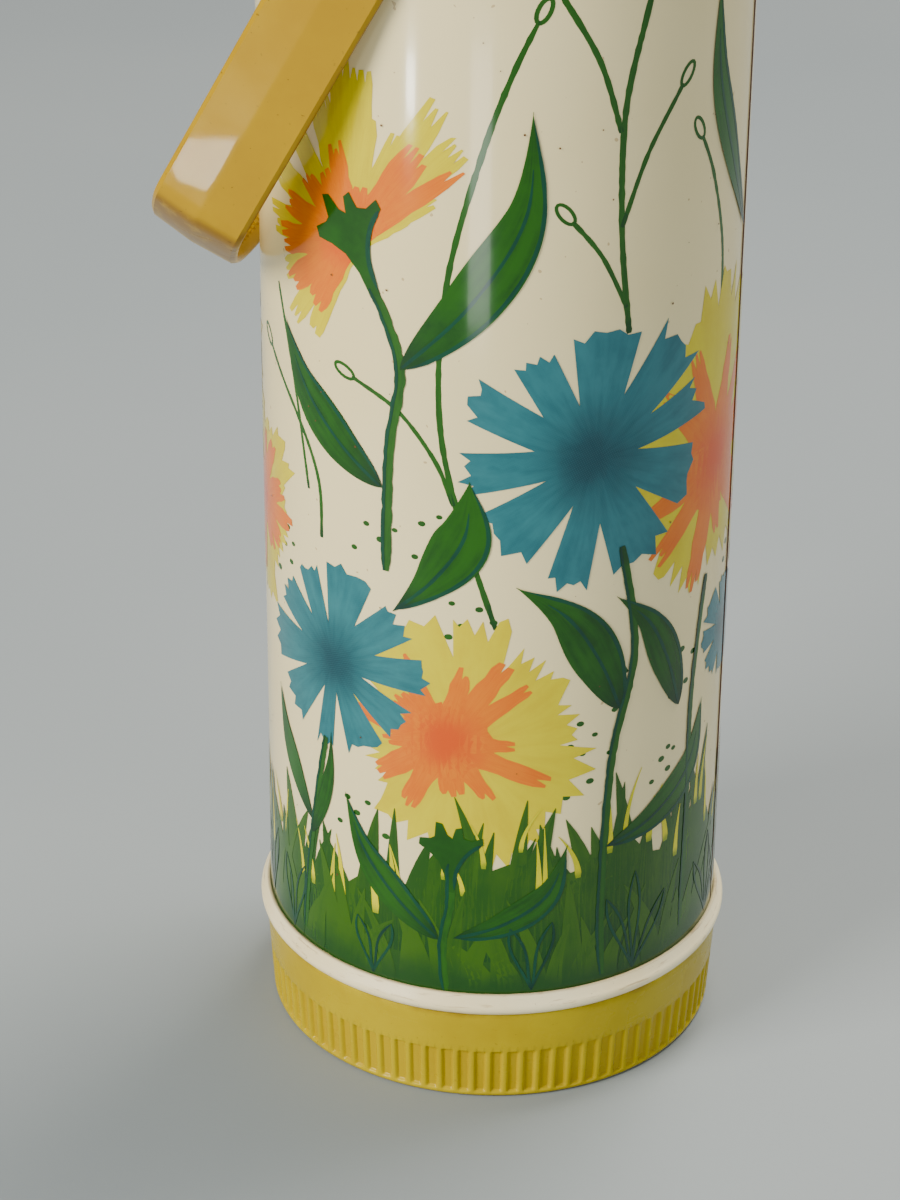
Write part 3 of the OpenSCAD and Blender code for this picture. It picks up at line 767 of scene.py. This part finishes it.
def yellow_flower(seed, x, z, radius, lean=(0, 0)):
    """A solid ragged yellow head, with torn orange brush strokes out of a place near its middle."""
    rng = random.Random(seed)
    outline = burst(rng, radius, petals=9, slit=(0.52, 0.82), gap=3.4, teeth=4, depth=0.16,
                    start=rng.uniform(0, 36), uneven=0.32)
    INKS["petals"].fill(moved(outline, x, z), from_centre(x, z, radius))
    x, z = x + lean[0], z + lean[1]
    tips = []
    strokes = 13
    for i in range(strokes):
        a = 2 * math.pi * (i + rng.uniform(-0.3, 0.3)) / strokes
        reach = radius * rng.uniform(0.42, 0.80)
        tips.append((x + reach * math.cos(a), z + reach * math.sin(a), rng.uniform(3.0, 7.0)))
    frayed(INKS["orange"], (x, z), tips, radius * 0.20, rng)
    middle = burst(rng, radius * 0.33, petals=11, slit=(0.6, 0.8), gap=4, teeth=1, depth=0.1)
    INKS["orange"].fill(moved(middle, x, z), from_centre(x, z, radius * 0.8))


def side_flower(seed, x, z):
    """A flower seen from the side: long yellow strokes behind a low orange crown."""
    rng = random.Random(seed)
    yellow = [(0, 47, 13), (-11, 36, 8), (13, 30, 3), (24, 38, 7), (30, 29, 8), (17, 10, 5),
              (-22, 26, 8), (-30, 12, 9), (-33, -3, 9), (-22, -27, 6), (-14, -30, 5),
              (6, 33, 5), (24, 14, 3), (-27, -16, 6)]
    orange = [(-5, 24, 6), (19, 26, 8), (29, 22, 4), (12, 11, 6), (-16, 13, 6), (-25, 4, 7),
              (-27, -7, 8), (-23, -18, 7), (-13, -21, 7), (2, 15, 7), (-9, 16, 5)]
    for ink, strokes, root in (("petals", yellow, 7), ("orange", orange, 6)):
        frayed(INKS[ink], (x, z), [(x + a, z + b, w) for a, b, w in strokes], root, rng)


def stem(points, width, seed):
    """A main stem with a darker line along its right side."""
    path = through(points)
    rng = random.Random(seed)
    ribbon(INKS["stems"], path, tapered(width, 0.7, 0.6), 2, 0.4, rng=rng)
    ribbon(INKS["veins"], path, tapered(width * 0.35, 0.5, 0.5), 1, 0.5, lean=-2.0, rng=rng)


def sprig(points, width, bud=True, seed=3):
    """A thin stalk, with an open loop of a bud at its far end."""
    rng = random.Random(seed)
    path = through(points)
    ribbon(INKS["sprigs"], path, tapered(width, 0.8, 0.7), 1, 0.4, rng=rng)
    if not bud:
        return
    tip = path[-1]
    ahead = (path[-1] - path[-3]).normalized()
    side = Vector((-ahead.y, ahead.x))
    middle = tip + ahead * 2.6
    loop = [middle + ahead * 3.2 * math.cos(a) + side * 1.5 * math.sin(a)
            for a in (math.pi + 2 * math.pi * i / 18 for i in range(19))]
    ribbon(INKS["sprigs"], loop, lambda t: width * 0.75, 1, 0.4)


def leaf(base, tip, bend, width, belly=0.45, vein=True, seed=5):
    """A leaf on a bowed line from base to tip, with a darker rib and a shaded edge."""
    rng = random.Random(seed)
    base, tip = Vector(base), Vector(tip)
    reach = tip - base
    side = Vector((-reach.y, reach.x)).normalized()
    path = through([base, base + reach * 0.33 + side * bend * 0.8,
                    base + reach * 0.68 + side * bend, tip])
    wide = leaf_width(width, belly)
    ribbon(INKS["leaves"], path, wide, 8, rng.uniform(0.35, 0.65))
    if vein:
        rib = path[1:int(len(path) * 0.82)]
        ribbon(INKS["veins"], rib, tapered(0.9, 0.6, 0.2), 1, 0.5, rng=rng)
        last = len(path) - 1
        edge = []
        for i, p in enumerate(path[2:-2], 2):
            ahead = path[i + 1] - path[i - 1]
            out = Vector((ahead.y, -ahead.x)).normalized()
            edge.append(p + out * wide(i / last) * 0.44)
        ribbon(INKS["veins"], edge, tapered(1.0, 0.3, 0.1), 1, 0.4, rng=rng)


def calyx(x, z, size, lean=0.0):
    """The green cup under a flower: four blunt points above a waist."""
    shape = [(-0.12, -1.5), (-0.18, -0.9), (-0.36, -0.42), (-0.66, -0.12), (-1.0, 0.10),
             (-0.98, 0.34), (-0.62, 0.38), (-0.50, 0.46), (-0.46, 0.98), (-0.26, 0.94),
             (-0.10, 0.56), (0.06, 0.44), (0.16, 0.80), (0.36, 0.86), (0.42, 0.48),
             (0.66, 0.40), (1.0, 0.52), (1.02, 0.28), (0.66, 0.0), (0.36, -0.42),
             (0.18, -0.9), (0.14, -1.5)]
    c, s = math.cos(lean), math.sin(lean)
    outline = [(x + size * (px * c - pz * s), z + size * (px * s + pz * c)) for px, pz in shape]
    INKS["leaves"].fill(outline, lambda a, b: (0.6, 0.5))
    edge = [Vector(outline[i]) for i in (17, 18, 19, 20, 21)]
    ribbon(INKS["veins"], through([e * 0.93 + Vector((x, z)) * 0.07 for e in edge]),
           tapered(size * 0.12), 1, 0.5)


def dots(seed, x, z, wide, high, count):
    """A loose cloud of small round dots."""
    rng = random.Random(seed)
    for i in range(count):
        cx = x + wide * (((i * 0.618) % 1.0) - 0.5) + rng.uniform(-1.5, 1.5)
        cz = z + high * ((i + 0.5) / count - 0.5) + rng.uniform(-1.5, 1.5)
        r = rng.uniform(0.75, 1.05)
        ring = [(cx + r * 1.15 * math.cos(a), cz + r * 0.85 * math.sin(a))
                for a in (2 * math.pi * k / 10 for k in range(10))]
        ids = [INKS["dots"].add(px, pz, 0.5, 0.5, 0.5) for px, pz in ring]
        INKS["dots"].faces.append(tuple(ids))


def blade(ink, x, low, high, width, lean, tone):
    """One blade of grass, bowed over to one side."""
    path = [Vector((x + lean * t * t, lerp(low, high, t))) for t in (i / 9 for i in range(10))]
    ribbon(INKS[ink], path, lambda t: max(width * (1 - t) ** 0.75 * min(1, 0.7 + t * 3), 0.2),
           max(2, round(width / 2)), tone)


def meadow(x):
    """Height of the meadow's top: highest a little to the right of the middle."""
    return 74 + 8 * math.cos((x - 36) * 4 * math.pi / ROUND) + 4 * math.cos(x / 5.2)


def tuft(rng, x, tall, count):
    """A fan of leaves, drawn in outline, out of one root."""
    for i in range(count):
        lean = (i - (count - 1) / 2) * rng.uniform(9, 12)
        high = tall * rng.uniform(0.8, 1.0) * (1 - abs(lean) / 50)
        for bow in (-1.9, 1.9):
            line = [Vector((x + lean * t + bow * math.sin(math.pi * t ** 1.6),
                            PRINT_LOW + 1 + high * t)) for t in (k / 11 for k in range(12))]
            ribbon(INKS["veins"], line, tapered(0.75, 0.6, 0.3), 1, rng.uniform(0.3, 0.8), rng=rng)


def grass():
    """A meadow along the foot of the print: broad soft blades, yellow slivers, dark roots."""
    rng = random.Random(11)
    half = ROUND / 4
    low = PRINT_LOW
    columns = 56
    tops = [meadow(lerp(-half, half, i / columns)) - 8 + rng.uniform(-2, 2)
            for i in range(columns + 1)]
    tops[-1] = tops[0]
    for i in range(columns):
        x0, x1 = lerp(-half, half, i / columns), lerp(-half, half, (i + 1) / columns)
        strip = []
        for k in range(9):
            t = k / 8
            a, b = lerp(low, tops[i], t), lerp(low, tops[i + 1], t)
            strip.append([(x0, a, t * 0.7, i * 0.6), ((x0 + x1) / 2, (a + b) / 2, t * 0.7, i * 0.6),
                          (x1, b, t * 0.7, i * 0.6)])
        INKS["grass_back"].grid(strip, 0.55)
    for i in range(60):
        x = lerp(-half, half, (i + rng.random()) / 60)
        top = meadow(x) + rng.uniform(-3, 15)
        blade("grass_back", x, 44, top, rng.uniform(7, 13), rng.uniform(-10, 10),
              rng.uniform(0.45, 1.0))
    for i in range(30):
        x = lerp(-half, half, (i + rng.random()) / 30)
        top = meadow(x) + rng.uniform(0, 12)
        blade("glow", x, top - rng.uniform(12, 22), top, rng.uniform(1.4, 2.6),
              rng.uniform(-6, 6), rng.uniform(0.3, 0.9))
    for i in range(46):
        x = lerp(-half, half, (i + rng.random()) / 46)
        top = 60 + rng.uniform(-12, 10)
        blade("grass", x, low, top, rng.uniform(5, 9), rng.uniform(-12, 12),
              rng.uniform(0.0, 0.55))
    for x, tall, count in ((-84, 30, 2), (-66, 26, 2), (-34, 19, 2), (10, 24, 2), (40, 32, 3),
                           (76, 30, 3)):
        tuft(rng, x, tall, count)


def flowers_and_leaves():
    """One repeat of the print: half the way round, centred on the side that faces the camera."""
    # Side-on yellow flower, top left, on the tallest stem
    side_flower(21, -40, 244)
    calyx(-40, 246, 11, lean=0.45)
    stem([(-34, 233), (-30, 226), (-26, 212), (-29, 190), (-30, 157)], 2.8, 1)
    leaf((-26, 213), (6, 281), -10, 14.5, 0.44, seed=1)
    leaf((-31, 180), (-66, 216), 4, 13, 0.45, seed=2)
    leaf((-28, 146), (-8, 185), -6, 15, 0.58, seed=3)
    # Thin stalks between the flowers
    sprig([(-1, 144), (-12, 180), (-16, 206), (-14, 238), (-6, 270), (1, 290), (7, 303)], 1.5,
          seed=4)
    sprig([(-12, 178), (-17, 190), (-27, 202), (-40, 208)], 1.2, seed=5)
    sprig([(-51, 160), (-52, 176), (-60, 190), (-76, 205)], 1.2, seed=6)
    sprig([(-56, 172), (-62, 200), (-70, 224)], 1.1, False, seed=7)
    sprig([(32, 222), (29, 249), (29, 279), (34, 302), (38, 316)], 1.7, False, seed=8)
    sprig([(28, 274), (22, 292), (12, 309)], 1.5, False, seed=9)
    sprig([(29, 250), (36, 268), (46, 283)], 1.3, seed=10)
    sprig([(31, 229), (24, 243), (16, 253)], 1.2, seed=11)
    sprig([(67, 214), (66, 236), (60, 256), (54, 268)], 1.2, seed=12)
    leaf((82, 236), (59, 306), 6, 9, 0.5, seed=13)
    # Blue flowers
    blue_flower(31, 24, 190, 38)
    blue_flower(33, -47, 126, 30)
    blue_flower(35, 80, 124, 17, 8)
    # Yellow flowers
    yellow_flower(22, -8, 110, 40, lean=(-6, 1))
    yellow_flower(24, 67, 182, 50, lean=(0, -4))
    yellow_flower(26, -88, 158, 30)
    calyx(-12, 78, 8.5)
    stem([(-12, 74), (-12, 62), (-14, 48), (-13, 34)], 2.4, 15)
    leaf((-15, 50), (-43, 88), 4, 10, 0.42, seed=16)
    leaf((-11, 51), (19, 79), -7, 9, 0.5, seed=17)
    # The blue flower's stem, with a pair of leaves and a long curled one
    stem([(32, 164), (37, 133), (31, 102), (29, 58), (30, 36)], 2.4, 18)
    leaf((33, 117), (4, 156), -5, 14, 0.42, seed=19)
    leaf((54, 111), (31, 150), -4, 11, 0.42, seed=20)
    leaf((30, 76), (66, 108), -9, 11, 0.5, seed=21)
    sprig([(35, 127), (30, 135), (22, 144)], 1.2, seed=22)
    stem([(65, 145), (60, 112), (60, 79), (59, 40)], 2.0, 23)
    # The left blue flower's stem and blades
    stem([(-50, 102), (-55, 76), (-58, 56), (-60, 38)], 2.0, 24)
    leaf((-56, 74), (-73, 108), 2, 7, 0.45, vein=False, seed=25)
    leaf((-56, 70), (-48, 104), -2, 5, 0.4, vein=False, seed=26)
    # Dots
    for seed, (x, z, wide, high, count) in enumerate(
            [(-26, 168, 26, 16, 9), (-6, 146, 14, 12, 6), (24, 106, 14, 26, 9),
             (56, 122, 10, 16, 6), (-34, 84, 22, 14, 7), (0, 84, 10, 10, 4),
             (50, 96, 8, 12, 5), (-66, 150, 10, 20, 5), (84, 150, 12, 20, 6)]):
        dots(60 + seed, x, z, wide, high, count)


def flecks():
    """Tiny brown specks of age, scattered over the print."""
    rng = random.Random(91)
    for _ in range(46):
        x, z = rng.uniform(-ROUND / 4, ROUND / 4), rng.uniform(50, 300)
        r = rng.uniform(0.12, 0.34)
        ids = [INKS["flecks"].add(x + r * math.cos(a), z + r * math.sin(a), 0.5, 0.5, 0.5)
               for a in (2 * math.pi * k / 7 for k in range(7))]
        INKS["flecks"].faces.append(tuple(ids))


def build_print():
    grass()
    flowers_and_leaves()
    flecks()
    for ink in INKS.values():
        ink.build()


# ---- Lap seam ----


def build_seam():
    """The sheet's cut edge, a thin brown line at the back, under the lid's hinge."""
    mesh = bpy.data.meshes.new("seam_edge")
    points, rings = [], 60
    for i in range(rings):
        z = lerp(RING_TOP + 0.2, PRINT_TOP, i / (rings - 1))
        for off, lift in ((-0.10, 0.02), (-0.10, 0.33), (0.22, 0.34), (0.22, 0.02)):
            a = off / SLEEVE_R
            r = SLEEVE_R + lift
            points.append((r * math.cos(a) * MM, r * math.sin(a) * MM, z * MM))
    mesh.from_pydata(points, [], closed_tube(rings, 4))
    edge = soft("seam_brown", srgb(92, 50, 30), 0.5)
    make_object("seam_edge", mesh, edge, "pot")


# ---- Handle ----

REST_ANGLE = math.radians(29.4)
STRAP_W = 24.7
STRAP_MID = 65.0
RIDGE = 1.9
GRIP_REACH = 151.1
BEND_R = 9.0
GRIP_SLOPE = math.radians(42)
GRIP_RIBS = 17
RIB_PITCH = math.radians(2.2)
BEND_Y = STRAP_MID - BEND_R
GRIP_R = BEND_R + BEND_Y / math.sin(GRIP_SLOPE)
GRIP_CENTRE = GRIP_R - GRIP_REACH
BEND_Z = GRIP_CENTRE - (GRIP_R - BEND_R) * math.cos(GRIP_SLOPE)


def strap_section(half):
    """The strap's section as (across the width, outwards): a ridge outside, round edges."""
    edge = 1.0
    pts = [(-half + edge, -1.25)]
    pts += [(half - edge, -1.25)]
    pts += [(half - edge + edge * math.cos(a), -0.25 + edge * math.sin(a))
            for a in (math.radians(d) for d in (-60, -30, 0, 30, 60))]
    for share in (0.98, 0.92, 0.08, 0.025, -0.025, -0.08, -0.92, -0.98):
        pts.append(((half - edge) * share, RIDGE - 0.75 * abs(share)))
    pts += [(-half + edge + edge * math.cos(a), -0.25 + edge * math.sin(a))
            for a in (math.radians(d) for d in (120, 150, 180, 210, 240))]
    return pts


def strap_path():
    """Places along one half of the strap: (y, z, outward angle from straight down, half width)."""
    path = []
    half = STRAP_W / 2
    for i in range(9):
        up = half * math.cos(math.radians(10 + 80 * i / 8))
        path.append((STRAP_MID, up, math.pi / 2, max(math.sqrt(half ** 2 - up ** 2), 2.2)))
    for i in range(1, 25):
        path.append((STRAP_MID, BEND_Z * i / 24, math.pi / 2, half))
    for i in range(1, 15):
        a = lerp(math.pi / 2, GRIP_SLOPE, i / 14)
        path.append((BEND_Y + BEND_R * math.sin(a), BEND_Z - BEND_R * math.cos(a), a, half))
    for i in range(1, 25):
        a = GRIP_SLOPE * (1 - i / 24)
        path.append((GRIP_R * math.sin(a), GRIP_CENTRE - GRIP_R * math.cos(a), a, half))
    return path


def build_handle():
    """The bail: one strap from eye to eye, bowed round the pot's front, with a ribbed grip."""
    half_path = strap_path()
    path = half_path + [(-y, z, -a, w) for y, z, a, w in reversed(half_path[:-1])]
    turn = Matrix.Translation((0, 0, PIVOT_Z * MM)) @ Matrix.Rotation(REST_ANGLE, 4, "Y")
    points = []
    for y, z, a, w in path:
        out = Vector((0, math.sin(a), -math.cos(a)))
        for across, outwards_by in strap_section(w):
            at = Vector((across, y, z)) + out * outwards_by
            points.append(turn @ (at * MM))
    faces = closed_tube(len(path), len(strap_section(STRAP_W / 2)))
    for i in range(GRIP_RIBS):
        add_rib(points, faces, turn, RIB_PITCH * (i - (GRIP_RIBS - 1) / 2))
    mesh = bpy.data.meshes.new("strap_handle")
    mesh.from_pydata(points, [], faces)
    mesh.shade_smooth()
    mesh.set_sharp_from_angle(angle=math.radians(30))
    make_object("strap_handle", mesh, handle_plastic, "handle", ["handle"])


def add_rib(points, faces, turn, a):
    """One half-round rib across the inner face of the grip."""
    first, radius, arc = len(points), 0.9, 7
    wide = STRAP_W / 2 - 3
    out = Vector((0, math.sin(a), -math.cos(a)))
    along = Vector((0, math.cos(a), math.sin(a)))
    foot = Vector((0, 0, GRIP_CENTRE)) + out * (GRIP_R - 1.1)
    for x in (-wide, -wide + 0.6, wide - 0.6, wide):
        size = 0.5 if abs(x) == wide else 1.0
        for k in range(arc):
            b = math.pi * k / (arc - 1)
            bulge = (along * math.cos(b) - out * math.sin(b)) * radius * size
            points.append(turn @ ((foot + Vector((x, 0, 0)) + bulge) * MM))
    faces += closed_tube(4, arc, first)


# ---- Pump ----

BELLOWS_FOLDS = 5


def shrink_with_plate(piece):
    """Gives the piece, which stands on the lid's liner, its own copy of its mesh."""
    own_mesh(piece)


def build_bellows():
    """The pump's concertina wall, with round folds."""
    low, high = span("bellows", 2)
    outer = span("bellows", 1)[1]
    swing, wall, count = 3.0, 1.2, 10 * BELLOWS_FOLDS
    folds = []
    for i in range(count + 1):
        wave = math.cos(2 * math.pi * BELLOWS_FOLDS * i / count)
        folds.append((outer - swing - swing * wave, lerp(low, high, i / count)))
    mesh = lathe("pump_concertina", folds + [(r - wall, z) for r, z in reversed(folds)], 120)
    piece = make_object("pump_concertina", mesh, bellows_plastic, "lid",
                        ["bellows"])
    shrink_with_plate(piece)


def build_spring():
    """The pump's return spring: a round wire in a helix."""
    low, high = span("pump_spring", 2)
    outer = span("pump_spring", 1)[1]
    wire, turns, sides, rings = 1.3, 5.5, 12, 261
    points = []
    for i in range(rings):
        t = i / (rings - 1)
        a = 2 * math.pi * turns * t
        for k in range(sides):
            b = 2 * math.pi * k / sides
            r = outer - wire + wire * math.cos(b)
            z = lerp(low + wire, high - wire, t) + wire * math.sin(b)
            points.append((r * math.cos(a) * MM, r * math.sin(a) * MM, z * MM))
    mesh = bpy.data.meshes.new("return_spring")
    mesh.from_pydata(points, [], [face[::-1] for face in closed_tube(rings, sides)])
    mesh.shade_smooth()
    mesh.set_sharp_from_angle(angle=math.radians(60))
    piece = make_object("return_spring", mesh, zinc_steel, "lid", ["pump_spring"])
    shrink_with_plate(piece)


# ---- Stage, lights and camera ----


CARD_FRONT, CARD_BACK, CARD_SIDE = -6000, 2600, 5000
# Where the card leaves the table, and how gently it curves up from there
SWEEP_START, SWEEP_EASE = 1800, 900


def build_stage():
    """A wide grey sheet of card on the table that sweeps up far behind the pot."""
    mesh = bpy.data.meshes.new("backdrop")
    points, faces = [], []
    steps = 24
    for i in range(steps + 1):
        y = lerp(CARD_FRONT, CARD_BACK, i / steps)
        rise = max(0.0, y - SWEEP_START) ** 2 / SWEEP_EASE
        for x in (-CARD_SIDE, CARD_SIDE):
            points.append((x * MM, y * MM, rise * MM))
    for i in range(steps):
        faces.append((2 * i, 2 * i + 1, 2 * i + 3, 2 * i + 2))
    mesh.from_pydata(points, [], faces)
    mesh.shade_smooth()
    s = Shader("backdrop_card")
    cloud = s.noise(2.2, 3, 0.5)
    grain = s.noise(420, 3, 0.6)
    colour = s.mix(s.span(cloud, 0.3, 0.7), srgb(148, 158, 165), srgb(142, 153, 161))
    card = s.finish(Base_Color=colour, Roughness=0.55, Normal=s.bump(grain, 0.00004))
    floor = bpy.data.objects.new("backdrop", mesh)
    bpy.context.scene.collection.objects.link(floor)
    mesh.materials.append(card)


def area_light(name, at, towards, size, power, colour=(1, 1, 1)):
    """A soft rectangular light that the camera itself doesn't see."""
    data = bpy.data.lights.new(name, "AREA")
    data.shape = "RECTANGLE"
    data.size, data.size_y = size
    data.energy = power
    data.color = colour
    light = bpy.data.objects.new(name, data)
    light.location = at
    light.rotation_euler = (Vector(towards) - Vector(at)).to_track_quat("-Z", "Y").to_euler()
    light.visible_camera = False
    bpy.context.scene.collection.objects.link(light)


def glint(name, spot, normal, distance, size, power):
    """A light whose mirror image a glossy spot shows to the camera, as a window's would be."""
    spot, normal = Vector(spot), Vector(normal).normalized()
    ray = (spot - bpy.context.scene.camera.matrix_world.translation).normalized()
    back = ray - 2 * ray.dot(normal) * normal
    area_light(name, spot + back * distance, spot, size, power)


def build_lights():
    world = bpy.data.worlds.new("soft_grey")
    bpy.context.scene.world = world
    world.use_nodes = True
    background = world.node_tree.nodes["Background"]
    background.inputs["Color"].default_value = (0.92, 0.95, 1.0, 1)
    background.inputs["Strength"].default_value = 0.24
    warm = (1.0, 0.91, 0.77)
    area_light("ceiling", (0.4, 0.7, 1.8), (0, 0, 0.1), (0.9, 0.8), 46, warm)
    area_light("window_left", (-1.1, -1.3, 1.1), (0, 0, 0.15), (0.9, 0.9), 54, warm)
    area_light("fill_right", (1.5, -0.9, 0.9), (0, 0, 0.15), (1.0, 1.0), 7, (0.98, 0.97, 0.94))
    # Small glints: on the handle's left facet above its bend, and down the sleeve's front
    tilt = Matrix.Rotation(REST_ANGLE, 3, "Y")
    facet = tilt @ Vector((-0.06, -1, 0))
    bend = tilt @ (Vector((-STRAP_W / 4, -STRAP_MID - 1.5, BEND_Z + 9)) * MM)
    glint("handle_glint", bend + Vector((0, 0, PIVOT_Z * MM)), facet, 0.36, (0.028, 0.020), 0.12)
    a = FRONT_ANGLE - 0.10
    spot = Vector((math.cos(a) * SLEEVE_R, math.sin(a) * SLEEVE_R, 262)) * MM
    glint("sleeve_glint", spot, (math.cos(a), math.sin(a), 0), 0.40, (0.07, 0.10), 0.15)


def build_camera():
    data = bpy.data.cameras.new("view")
    data.lens = CAMERA_LENS
    data.sensor_width = 36
    camera = bpy.data.objects.new("view", data)
    place = Vector((CAMERA_ACROSS, CAMERA_BACK, CAMERA_HEIGHT)) * MM
    camera.matrix_world = (
        Matrix.Rotation(VIEW_TURN, 4, "Z") @ Matrix.Translation(place)
        @ Matrix.Rotation(math.pi / 2 - CAMERA_PITCH, 4, "X")
        @ Matrix.Rotation(CAMERA_ROLL, 4, "Z"))
    bpy.context.scene.collection.objects.link(camera)
    bpy.context.scene.camera = camera


build_camera()
build_stage()
build_lights()
dress_cad_nodes()
build_base()
build_ring()
build_sleeve()
build_print()
build_seam()
build_handle()
build_bellows()
build_spring()
